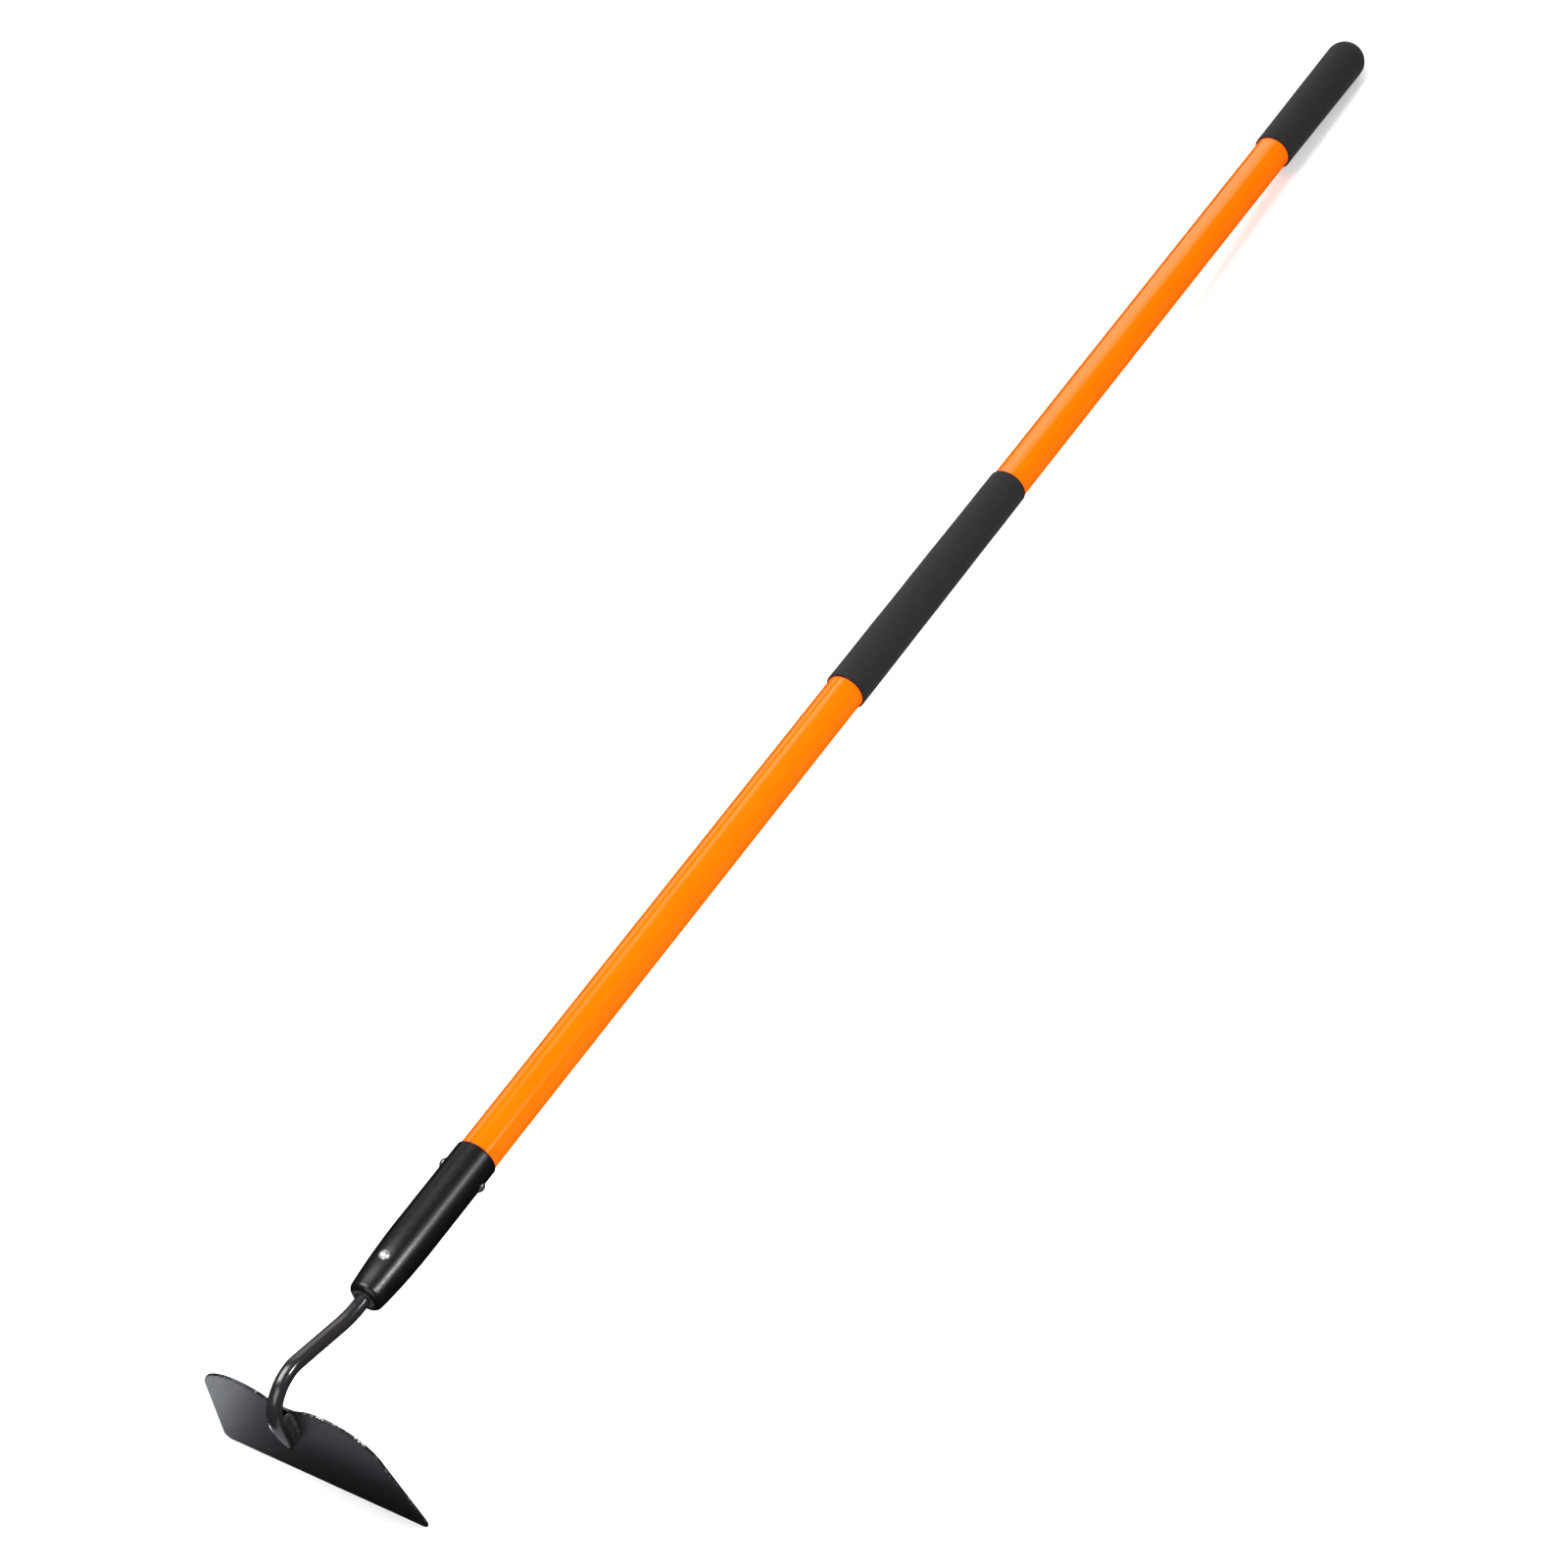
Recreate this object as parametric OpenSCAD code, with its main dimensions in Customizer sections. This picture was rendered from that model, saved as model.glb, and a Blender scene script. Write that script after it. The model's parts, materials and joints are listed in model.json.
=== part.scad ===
// Long-handled grub hoe: a plate blade welded to a bent round bar, riveted into a ferrule on a two-part tube.
// Every piece is drawn with the handle's axis along Y and the ferrule's mouth at Y = 0, blade towards -Y.
// at_rest() then lays the whole hoe on the ground, on its cutting edge and its end grip.

/* [Blade] */
// Width along the cutting edge
blade_w = 161; // [150:1:170]
// Height from the cutting edge to the top of each hump
blade_h = 111; // [107:1:116]
// Height from the cutting edge to the dip between the humps
blade_dip_h = 100; // [98:1:102]
// Plate thickness
blade_t = 2; // [1.5:0.1:2.5]
// Thickness of the cutting edge
blade_edge_t = 0.4; // [0.2:0.1:0.8]
// Angle that each side leans in from the vertical
blade_side_lean = 9.4; // [8:0.1:11]
// Radius of the shoulders and humps
blade_hump_r = 35; // [33:0.5:37]
// Radius of the two bottom corners
blade_corner_r = 5; // [3:0.5:6]
// Length of the ground bevel behind the cutting edge
blade_bevel_len = 7; // [4:0.5:10]
// Distance from the ferrule's mouth to the cutting edge, along the handle
blade_reach = 203.1; // [200:0.1:206]
// Distance of the cutting edge below the handle's axis
blade_drop = 104.7; // [102:0.1:107]
// Angle by which the cutting edge is drawn in towards the user
blade_pitch = 10; // [8:0.5:12]

/* [Gooseneck] */
// Diameter of the round bar
bar_d = 10.3; // [9.6:0.1:10.6]
// Distance from the bar's centre to the blade's outer face
bar_standoff = 8.8; // [8:0.1:9.5]
// Length of straight bar between the ferrule and the first bend
bar_exit = 3; // [2:0.1:5]
// Angle at which the bar rises from the first bend
bar_rise = 16.7; // [16:0.1:17.5]
// Radius of the first bend, at the ferrule
bar_first_bend_r = 80; // [70:1:90]
// Radius of the main bend, over the blade
bar_main_bend_r = 24; // [23:0.1:25.4]
// Height of the forged point's end above the cutting edge
bar_point_height = 63; // [60:1:68]
// Diameter of the point's end
bar_point_d = 2; // [1.5:0.5:4]

/* [Welds] */
// Height above the cutting edge at which the blade welds begin
blade_weld_top = 98; // [97:0.5:98]
// Height above the cutting edge at which the blade welds run out
blade_weld_end = 66; // [64:0.5:72]
// Width of the two blade welds together, on the blade
blade_weld_foot_w = 13; // [12:0.5:15]
// Width of the two blade welds together, at the bar
blade_weld_crest_w = 7.8; // [7:0.1:8.4]
// Distance from the bar's centre down to the crest of the blade welds
blade_weld_crest_drop = 2.2; // [1.8:0.1:3]
// Diameter of the ring of weld on the ferrule's closed end
ferrule_weld_d = 17; // [14:0.5:18]
// Height of the ring of weld
ferrule_weld_h = 1.8; // [1.2:0.1:2.4]

/* [Ferrule] */
// Length from the mouth to the closed end
ferrule_len = 129.5; // [125:0.5:132]
// Outer diameter at the mouth
ferrule_d = 30.4; // [30.3:0.1:31]
// Wall thickness
ferrule_wall = 1.1; // [0.9:0.05:1.1]
// Length of the straight part
ferrule_straight = 72; // [70:1:75]
// Radius of the long curve that narrows the ferrule
ferrule_curve_r = 530; // [500:5:560]
// Radius of the rounded end
ferrule_nose_r = 4.5; // [4:0.1:5]

/* [Rivets] */
// Diameter of each rivet's dome
rivet_head_d = 8; // [7:0.5:9]
// Height of each dome
rivet_head_h = 2.3; // [2:0.1:2.6]
// Diameter of the rivet through the tang
tang_rivet_d = 4; // [3:0.5:4.5]
// Diameter of the rivet across the handle
handle_rivet_d = 5; // [4:0.5:6]
// Distance from the mouth to the tang rivet
tang_rivet_at = 101.7; // [98:0.1:104]
// Distance from the mouth to the handle rivet
handle_rivet_at = 16.4; // [14:0.1:18]
// Angle about the handle between the tang rivet and the handle rivet
handle_rivet_turn = 110; // [90:1:120]

/* [Handle] */
// Outer diameter of the lower tube
lower_tube_d = 28; // [27.8:0.1:28]
// Outer diameter of the upper tube
upper_tube_d = 27.3; // [27:0.1:27.4]
// Wall thickness of both tubes
tube_wall = 1.2; // [1:0.1:1.4]
// Length of the lower tube inside the ferrule
lower_tube_seat = 78; // [70:1:80]
// Distance from the ferrule's mouth to the joint between the tubes
joint_at = 588; // [560:1:620]
// Distance from the ferrule's mouth to the upper tube's end
tube_end_at = 1246; // [1240:1:1247]

/* [Grips] */
// Distance from the ferrule's mouth to the middle grip
middle_grip_at = 471; // [460:1:480]
// Length of the middle grip
middle_grip_len = 234; // [220:1:240]
// Diameter of the middle grip's lower end
middle_grip_low_d = 31.2; // [31:0.1:32]
// Diameter of the middle grip's upper end
middle_grip_high_d = 29.8; // [29.8:0.1:31]
// Distance from the ferrule's mouth to the end grip
end_grip_at = 1126; // [1110:1:1140]
// Diameter of the end grip's open end
end_grip_low_d = 30.6; // [30.4:0.1:31.5]
// Diameter of the end grip's dome
end_grip_high_d = 32; // [31.6:0.1:33]
// Distance from the ferrule's mouth to the tip of the dome
hoe_tip_at = 1266.7; // [1266:0.1:1270]
// Rounding of the grips' open ends
grip_edge_r = 1; // [0.6:0.1:1.1]

/* [Inner pieces] */
// Length of the core plug above the ferrule's mouth
core_above_mouth = 14; // [10:1:30]
// Length of the joint spigot
spigot_len = 160; // [120:1:180]
// Wall thickness of the joint spigot's thinner half
spigot_wall = 2; // [1.5:0.1:3]
// Length of the end plug inside the upper tube
plug_len = 22; // [15:1:30]
// Thickness of the end plug's flange
plug_flange_t = 2; // [1.5:0.1:2.5]

/* [Hidden] */
$fn = 96;

gap = 0.05;              // clearance of pieces glued or pressed together
weld_gap = 0.01;         // clearance between a weld and what it joins
lap = 0.3;               // how far the bar's straight runs lap over its bends
relief = 0.02;           // how much smaller in radius the bends are, so that the laps cover them
past = 1;                // how far a cutting tool reaches past a face
end_room = 1;            // room left between an inner piece and the bottom of its hole
far = 400;               // more than any cutting tool needs to reach
arc_step = 5;            // degrees between points on the outlines' arcs
curve_steps = 10;        // stretches in the ferrule's long curve
point_steps = 6;         // stretches in the forged point's taper

bar_r = bar_d / 2;
bar_hole_r = bar_r + gap;
tang_end_to_rivet = 8;   // from the tang's inner end to the middle of the handle rivet
tang_inner_end = -handle_rivet_at - tang_end_to_rivet;

// How far the bar has come and risen where the main bend begins, and where that ends,
// if the rising run has no length.
bar_turn = 90 + bar_rise + blade_pitch;
bend_y = -ferrule_len - bar_exit - bar_first_bend_r * sin(bar_rise);
bend_z = bar_first_bend_r * (1 - cos(bar_rise));
main_end_y = bar_main_bend_r * (-sin(bar_rise) - sin(bar_turn - bar_rise));
main_end_z = bar_main_bend_r * (cos(bar_turn - bar_rise) - cos(bar_rise));

// Unit vectors of the blade in the Y-Z plane: up the plate, and out of its outer face.
up_y = -sin(blade_pitch);
up_z = cos(blade_pitch);
out_y = -cos(blade_pitch);
out_z = -sin(blade_pitch);

// The rising run is as long as it takes for the bar to end up at its stand-off from the blade.
edge_to_bend = [bend_y + main_end_y + blade_reach, bend_z + main_end_z + blade_drop];
reached = edge_to_bend[0] * out_y + edge_to_bend[1] * out_z;
gain = -cos(bar_rise) * out_y + sin(bar_rise) * out_z;
rising_len = (bar_standoff - reached) / gain;

// Height up the plate at which the main bend ends and the forged point begins.
point_start_v = edge_to_bend[0] * up_y + edge_to_bend[1] * up_z
              + rising_len * (-cos(bar_rise) * up_y + sin(bar_rise) * up_z);
bar_point_len = point_start_v - bar_point_height;

ferrule_r = ferrule_d / 2;
nose_start = ferrule_len - ferrule_nose_r;
nose_start_r = ferrule_r - ferrule_curve_drop(nose_start);

lower_bore_r = lower_tube_d / 2 - tube_wall;
upper_bore_r = upper_tube_d / 2 - tube_wall;
dome_r = end_grip_high_d / 2;
dome_at = hoe_tip_at - dome_r;

// The hoe rests on its cutting edge and on the dome of its end grip.
rest_reach = blade_reach + dome_at;
rest_tilt = atan2(blade_drop, rest_reach) - asin(dome_r / norm([rest_reach, blade_drop]));
rest_z = blade_drop * cos(rest_tilt) - blade_reach * sin(rest_tilt);
main_bend_centre_y = bend_y - rising_len * cos(bar_rise) - bar_main_bend_r * sin(bar_rise);
main_bend_centre_z = bend_z + rising_len * sin(bar_rise) - bar_main_bend_r * cos(bar_rise);
rest_y_min = main_bend_centre_y * cos(rest_tilt) + main_bend_centre_z * sin(rest_tilt)
           - bar_main_bend_r - bar_r;
rest_y_max = dome_at * cos(rest_tilt) + dome_r;
rest_y = -(rest_y_min + rest_y_max) / 2;

// How much narrower in radius the ferrule is at a distance from its mouth.
function ferrule_curve_drop(at) = at <= ferrule_straight ? 0
  : ferrule_curve_r - sqrt(pow(ferrule_curve_r, 2) - pow(at - ferrule_straight, 2));

// Points of an arc about a centre, from one angle to another.
function arc(centre, r, from, to) =
  let (steps = ceil(abs(to - from) / arc_step))
  [for (i = [0:steps]) centre + r * [cos(from + (to - from) * i / steps), sin(from + (to - from) * i / steps)]];

module at_rest() {
  translate([0, rest_y, rest_z])
    rotate([-rest_tilt, 0, 0])
      children();
}

// Turns a piece drawn up the Z axis so that it lies along the handle, with Z = 0 at the ferrule's mouth.
module along_handle() {
  rotate([-90, 0, 0])
    children();
}

// Puts a piece on the blade: X across it, Y up it from the cutting edge, Z out of its outer face.
module on_blade() {
  translate([0, -blade_reach, -blade_drop])
    rotate([90 + blade_pitch, 0, 0])
      children();
}

// --- Blade ---

// Half of the outline, from the middle of the cutting edge round to the middle of the dip.
function half_blade() =
  let (
    lean = blade_side_lean,
    corner = [blade_w / 2 - blade_corner_r, blade_corner_r],
    // the straight side's distance from the middle of the cutting edge
    side = corner[0] * cos(lean) + corner[1] * sin(lean) + blade_corner_r,
    hump_y = blade_h - blade_hump_r,
    hump = [(side - blade_hump_r - hump_y * sin(lean)) / cos(lean), hump_y],
    rise = blade_dip_h - hump_y,
    dip_r = (pow(hump[0], 2) + pow(rise, 2) - pow(blade_hump_r, 2)) / (2 * (blade_hump_r - rise)),
    dip = [0, blade_dip_h + dip_r],
    meet = atan2(dip[1] - hump[1], dip[0] - hump[0]),
    meet_x = hump[0] + blade_hump_r * cos(meet)
  )
  concat(
    arc(corner, blade_corner_r, -90, lean),
    arc(hump, blade_hump_r, lean, meet),
    [for (p = arc(dip, dip_r, meet - 180, -90)) if (p[0] < meet_x - gap) p]
  );

// All that the ground bevel takes off the blade's inner side.
module blade_bevel() {
  translate([-far / 2, 0, -blade_edge_t])
    rotate([-atan2(blade_t - blade_edge_t, blade_bevel_len), 0, 0])
      translate([0, -far, -far])
        cube([far, 2 * far, far]);
}

module blade() {
  right = half_blade();
  left = [for (i = [len(right) - 2:-1:0]) [-right[i][0], right[i][1]]];
  color("#1c1c1e")
    at_rest()
      on_blade()
        difference() {
          translate([0, 0, -blade_t])
            linear_extrude(blade_t)
              polygon(concat(right, left));
          blade_bevel();
        }
}

// --- Gooseneck ---

// A straight run of the bar towards -Y, lapping over the bends at its ends; children go on from its end.
module run(length) {
  translate([0, lap, 0])
    rotate([90, 0, 0])
      cylinder(h = length + 2 * lap, r = bar_r);
  translate([0, -length, 0])
    children();
}

// A bend of the bar, upwards if up is 1 and downwards if it is -1; children go on from its end.
module bend(radius, angle, up) {
  translate([0, 0, up * radius])
    rotate([0, 90 * up, 0])
      rotate([180, 0, 0])
        rotate_extrude(angle = angle)
          translate([radius, 0])
            circle(r = bar_r - relief);
  translate([0, 0, up * radius])
    rotate([-up * angle, 0, 0])
      translate([0, 0, -up * radius])
        children();
}

// Radius of the forged point, from the bar's own at 0 to the point's end at 1.
function point_radius(t) = bar_point_d / 2 + (bar_d - bar_point_d) / 2 * pow(1 - pow(t, 2), 0.75);

// The forged point, drawn up the Z axis from the bar's full width, and grown by a clearance.
module bar_point(grow) {
  rotate_extrude()
    polygon(concat(
      [[0, -lap], [bar_r + grow, -lap]],
      [for (i = [0:point_steps]) [point_radius(i / point_steps) + grow, bar_point_len * i / point_steps]],
      [[0, bar_point_len]]
    ));
}

module gooseneck_shank() {
  color("#161617")
    at_rest()
      difference() {
        translate([0, tang_inner_end, 0])
          run(ferrule_len + bar_exit + tang_inner_end)
            bend(bar_first_bend_r, bar_rise, 1)
              run(rising_len)
                bend(bar_main_bend_r, bar_turn, -1)
                  rotate([90, 0, 0])
                    bar_point(0);
        tang_rivet_hole();
      }
}

// --- Welds ---

// The bar where it passes the blade, grown a little, to cut the blade welds with.
module bar_clearance() {
  bend_up_to_weld_top = 10;
  on_blade() {
    translate([0, point_start_v, bar_standoff])
      rotate([90, 0, 0])
        bar_point(weld_gap);
    translate([0, point_start_v, bar_standoff - bar_main_bend_r])
      rotate([0, -90, 0])
        rotate_extrude(angle = bend_up_to_weld_top)
          translate([bar_main_bend_r, 0])
            circle(r = bar_r + weld_gap);
  }
}

// The weld on one side of the bar, the right one if side is 1 and the left one if it is -1.
module blade_weld(side) {
  foot_x = side * blade_weld_foot_w / 2;
  crest_x = side * blade_weld_crest_w / 2;
  crest_z = bar_standoff - blade_weld_crest_drop;
  difference() {
    on_blade()
      translate([0, blade_weld_top, 0])
        rotate([90, 0, 0])
          linear_extrude(blade_weld_top - blade_weld_end)
            polygon([[0, weld_gap], [foot_x, weld_gap], [crest_x, crest_z], [0, crest_z]]);
    bar_clearance();
  }
}

module blade_weld_left() {
  color("#131314")
    at_rest()
      blade_weld(-1);
}

module blade_weld_right() {
  color("#131314")
    at_rest()
      blade_weld(1);
}

module ferrule_weld() {
  bead_r = ferrule_weld_d / 2;
  color("#2a221d")
    at_rest()
      along_handle()
        translate([0, 0, -ferrule_len - weld_gap])
          rotate_extrude()
            polygon([
              [bar_hole_r, 0], [bead_r, 0], [bead_r - ferrule_weld_h * 0.4, -ferrule_weld_h * 0.6],
              [bead_r - ferrule_weld_h, -ferrule_weld_h], [bar_hole_r, -ferrule_weld_h]
            ]);
}

// --- Ferrule and rivets ---

module tang_rivet_hole(grow = 0) {
  translate([0, -tang_rivet_at, -far / 2])
    cylinder(h = far, r = tang_rivet_d / 2 + grow);
}

module handle_rivet_hole(grow = 0) {
  translate([0, -handle_rivet_at, 0])
    rotate([0, handle_rivet_turn, 0])
      translate([0, 0, -far / 2])
        cylinder(h = far, r = handle_rivet_d / 2 + grow);
}

// Outer edge of the ferrule from its mouth to its closed end, as radius and height below the mouth.
function ferrule_edge(inset) = concat(
  [[ferrule_r - inset, 0]],
  [for (i = [0:curve_steps]) let (at = ferrule_straight + (nose_start - ferrule_straight) * i / curve_steps)
    [ferrule_r - inset - ferrule_curve_drop(at), -at]],
  arc([nose_start_r - ferrule_nose_r, -nose_start], ferrule_nose_r - inset, -arc_step, -90)
);

// The ferrule's outer shape as a solid, taken in by an inset.
module ferrule_body(inset) {
  along_handle()
    rotate_extrude()
      polygon(concat([[0, 0]], ferrule_edge(inset), [[0, -ferrule_len + inset]]));
}

module ferrule() {
  color("#18181a")
    at_rest()
      difference() {
        ferrule_body(0);
        ferrule_body(ferrule_wall);
        along_handle()
          translate([0, 0, -ferrule_len - past])
            cylinder(h = ferrule_len, r = bar_hole_r);
        tang_rivet_hole(gap);
        handle_rivet_hole(gap);
      }
}

// A rivet's dome standing on the plane Z = 0, with a skirt below that a curved surface trims.
module rivet_dome() {
  head_r = rivet_head_d / 2;
  ball_r = (pow(head_r, 2) + pow(rivet_head_h, 2)) / (2 * rivet_head_h);
  rotate_extrude()
    intersection() {
      translate([0, rivet_head_h - ball_r])
        circle(r = ball_r);
      translate([0, -rivet_head_h])
        square([head_r, 2 * rivet_head_h]);
    }
}

// A rivet through the ferrule, along Z and then turned about the handle, with its domes trimmed to the ferrule.
module rivet(at, shank_d, seat_r, turn) {
  seat_sink = 0.2;
  translate([0, -at, 0])
    rotate([0, turn, 0])
      translate([0, 0, -seat_r])
        cylinder(h = 2 * seat_r, r = shank_d / 2);
  difference() {
    for (half_turn = [0, 180])
      translate([0, -at, 0])
        rotate([0, turn + half_turn, 0])
          translate([0, 0, seat_r - seat_sink])
            rivet_dome();
    ferrule_body(0);
  }
}

module tang_rivet() {
  color("#c9ccd0")
    at_rest()
      rivet(tang_rivet_at, tang_rivet_d, ferrule_r - ferrule_curve_drop(tang_rivet_at), 0);
}

module handle_rivet() {
  color("#c9ccd0")
    at_rest()
      rivet(handle_rivet_at, handle_rivet_d, ferrule_r, handle_rivet_turn);
}

module core_plug() {
  from = lower_tube_seat + end_room;
  to = nose_start - 3 * end_room;
  color("#d8c9a8")
    at_rest()
      difference() {
        along_handle()
          rotate_extrude()
            polygon(concat(
              [[0, core_above_mouth], [lower_bore_r - gap, core_above_mouth], [lower_bore_r - gap, -from]],
              [for (i = [0:curve_steps]) let (at = from + (to - from) * i / curve_steps)
                [ferrule_r - ferrule_wall - gap - ferrule_curve_drop(at), -at]],
              [[0, -to]]
            ));
        along_handle()
          translate([0, 0, -ferrule_len])
            cylinder(h = ferrule_len + tang_inner_end + end_room, r = bar_hole_r);
        tang_rivet_hole(gap);
        handle_rivet_hole(gap);
      }
}

// --- Handle ---

// A straight tube along the handle between two distances from the ferrule's mouth.
module tube(from, to, outer_r, inner_r) {
  along_handle()
    translate([0, 0, from])
      difference() {
        cylinder(h = to - from, r = outer_r);
        translate([0, 0, -past])
          cylinder(h = to - from + 2 * past, r = inner_r);
      }
}

module lower_tube() {
  color("#ff7d0a")
    at_rest()
      difference() {
        tube(-lower_tube_seat, joint_at, lower_tube_d / 2, lower_bore_r);
        handle_rivet_hole(gap);
      }
}

module upper_tube() {
  color("#ff7d0a")
    at_rest()
      tube(joint_at + gap, tube_end_at, upper_tube_d / 2, upper_bore_r);
}

module joint_spigot() {
  half = spigot_len / 2;
  bore_r = upper_bore_r - spigot_wall;
  color("#8f9296")
    at_rest()
      along_handle()
        translate([0, 0, joint_at])
          rotate_extrude()
            polygon([
              [bore_r, -half], [lower_bore_r - gap, -half], [lower_bore_r - gap, 0],
              [upper_bore_r - gap, 0], [upper_bore_r - gap, half], [bore_r, half]
            ]);
}

// --- Grips ---

module middle_grip() {
  low_r = middle_grip_low_d / 2;
  high_r = middle_grip_high_d / 2;
  top = middle_grip_at + middle_grip_len;
  color("#2b2a2b")
    at_rest()
      along_handle()
        rotate_extrude()
          polygon(concat(
            [[lower_tube_d / 2 + gap, joint_at], [lower_tube_d / 2 + gap, middle_grip_at]],
            arc([low_r - grip_edge_r, middle_grip_at + grip_edge_r], grip_edge_r, -90, 0),
            arc([high_r - grip_edge_r, top - grip_edge_r], grip_edge_r, 0, 90),
            [[upper_tube_d / 2 + gap, top], [upper_tube_d / 2 + gap, joint_at]]
          ));
}

module end_grip() {
  low_r = end_grip_low_d / 2;
  bore_end = tube_end_at + plug_flange_t + end_room;
  color("#2b2a2b")
    at_rest()
      along_handle()
        difference() {
          union() {
            rotate_extrude()
              polygon(concat(
                [[0, dome_at], [0, end_grip_at]],
                arc([low_r - grip_edge_r, end_grip_at + grip_edge_r], grip_edge_r, -90, 0),
                [[dome_r, dome_at]]
              ));
            translate([0, 0, dome_at])
              rotate_extrude()
                intersection() {
                  circle(r = dome_r);
                  square(dome_r);
                }
          }
          translate([0, 0, end_grip_at - past])
            cylinder(h = bore_end - end_grip_at + past, r = upper_tube_d / 2 + gap);
        }
}

module tube_end_plug() {
  color("#3a3a3c")
    at_rest()
      along_handle()
        union() {
          translate([0, 0, tube_end_at - plug_len])
            cylinder(h = plug_len + gap, r = upper_bore_r - gap);
          translate([0, 0, tube_end_at + gap])
            cylinder(h = plug_flange_t, r = upper_tube_d / 2 - gap);
        }
}

blade();
gooseneck_shank();
blade_weld_left();
blade_weld_right();
ferrule();
ferrule_weld();
tang_rivet();
handle_rivet();
core_plug();
lower_tube();
joint_spigot();
upper_tube();
middle_grip();
end_grip();
tube_end_plug();
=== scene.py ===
"""The looks of the grub hoe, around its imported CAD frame.

Sizes are in millimetres, and angles in degrees, unless a comment or a name says otherwise.
"""

import json
import math

import bmesh
import bpy
from mathutils import Matrix, Vector, noise

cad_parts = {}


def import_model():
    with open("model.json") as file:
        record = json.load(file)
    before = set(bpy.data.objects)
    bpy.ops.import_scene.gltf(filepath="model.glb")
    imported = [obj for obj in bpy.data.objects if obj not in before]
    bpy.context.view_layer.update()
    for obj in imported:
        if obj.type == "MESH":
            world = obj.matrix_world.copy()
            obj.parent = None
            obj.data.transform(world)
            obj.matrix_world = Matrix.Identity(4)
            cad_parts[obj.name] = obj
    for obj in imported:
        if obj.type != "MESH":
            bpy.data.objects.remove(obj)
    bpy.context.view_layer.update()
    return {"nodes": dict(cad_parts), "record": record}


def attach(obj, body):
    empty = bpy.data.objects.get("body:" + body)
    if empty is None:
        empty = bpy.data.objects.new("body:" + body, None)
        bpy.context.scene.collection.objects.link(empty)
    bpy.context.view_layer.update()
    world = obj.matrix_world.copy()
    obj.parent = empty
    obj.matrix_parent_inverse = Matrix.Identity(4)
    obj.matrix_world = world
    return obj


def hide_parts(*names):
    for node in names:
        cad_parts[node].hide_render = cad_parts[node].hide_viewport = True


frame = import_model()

MM = 0.001

# --- Driving sizes, the same as the CAD model's ---
BLADE_W = 161
BLADE_H = 111
BLADE_DIP_H = 100                 # height of the dip between the two humps
BLADE_T = 2
BLADE_EDGE_T = 0.4                # thickness of the cutting edge
BLADE_LEAN = 9.4                  # angle that each side leans in from the vertical
BLADE_HUMP_R = 35
BLADE_CORNER_R = 5
BLADE_BEVEL = 7                   # length of the ground bevel behind the cutting edge
BLADE_PITCH = 10                  # angle by which the cutting edge is drawn in towards the user
BAR_D = 10.3
BAR_STANDOFF = 8.8                # from the bar's centre to the blade's outer face
BAR_EXIT = 3                      # straight bar between the ferrule and the first bend
BAR_RISE = 16.7                   # angle of its rising run
BAR_FIRST_BEND_R = 80
BAR_MAIN_BEND_R = 24
BAR_POINT_H = 63                  # height of its point above the cutting edge
BAR_POINT_D = 2
FERRULE_LEN = 129.5
FERRULE_D = 30.4
FERRULE_WALL = 1.1
FERRULE_STRAIGHT = 72             # length of its straight part, from the mouth
FERRULE_CURVE_R = 530             # radius of the curve by which it narrows
FERRULE_NOSE_R = 4.5
RIVET_HEAD_D = 8
RIVET_HEAD_H = 2.3
TANG_RIVET_D = 4
HANDLE_RIVET_D = 5
TANG_RIVET_AT = 101.7             # down the ferrule from its mouth
HANDLE_RIVET_AT = 16.4            # down the ferrule from its mouth
HANDLE_RIVET_TURN = 110           # angle round the handle from the tang rivet
TANG_END_TO_RIVET = 8             # from the tang's inner end to the handle rivet
LOWER_TUBE_D = 28
UPPER_TUBE_D = 27.3
TUBE_WALL = 1.2
LOWER_TUBE_SEAT = 78              # how far the lower tube goes into the ferrule
JOINT_AT = 588                    # this and the distances below are up the handle from the ferrule's mouth
TUBE_END_AT = 1246
MIDDLE_GRIP_AT = 471
MIDDLE_GRIP_LEN = 234
MIDDLE_GRIP_LOW_D = 31.2
MIDDLE_GRIP_HIGH_D = 29.8
END_GRIP_AT = 1126
END_GRIP_LOW_D = 30.6
END_GRIP_HIGH_D = 32
HOE_TIP_AT = 1266.7

# --- Sizes of the looks only ---
ROUND = 128                       # segments round a turned piece
BAR_ROUND = 64                    # segments round the bar
GAP = 0.05                        # clearance of pieces that are pressed together
BLADE_RIM_R = 0.55                # rounding of the blade's rim
RIVET_SINK = 0.2                  # how deep the rivets' heads sit in the ferrule
GRIP_EDGE_R = 0.9                 # rounding of the grips' open ends
PLUG_HEAD_ROOM = 3                # room for the end plug past the end of the upper tube


# --- Where things are, from the frame ---

def mount(name):
    """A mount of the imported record, as its place, its axis and its sizes."""
    found = next(m for m in frame["record"]["mounts"] if m["name"] == name)
    return Vector(found["pos_m"]), Vector(found["axis"]), found["dims"]


def place(origin, across, along):
    """The matrix that puts a piece's origin there, with its X across and its Y along."""
    matrix = Matrix((across, along, across.cross(along))).transposed().to_4x4()
    matrix.translation = origin
    return matrix


ACROSS = Vector((1, 0, 0))
CLIP_AT, CLIP_AXIS, CLIP_DIMS = mount("lower_tube_clip")
# X across the hoe, Y up the handle from the ferrule's mouth, Z up
HANDLE = place(CLIP_AT - CLIP_AXIS * CLIP_DIMS["length_mm"] / 2 * MM, ACROSS, CLIP_AXIS)

FACE_AT, FACE_NORMAL, _ = mount("blade_inner_face")
PLATE_UP = ACROSS.cross(FACE_NORMAL)
OUTER_AT = FACE_AT - FACE_NORMAL * BLADE_T * MM
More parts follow.
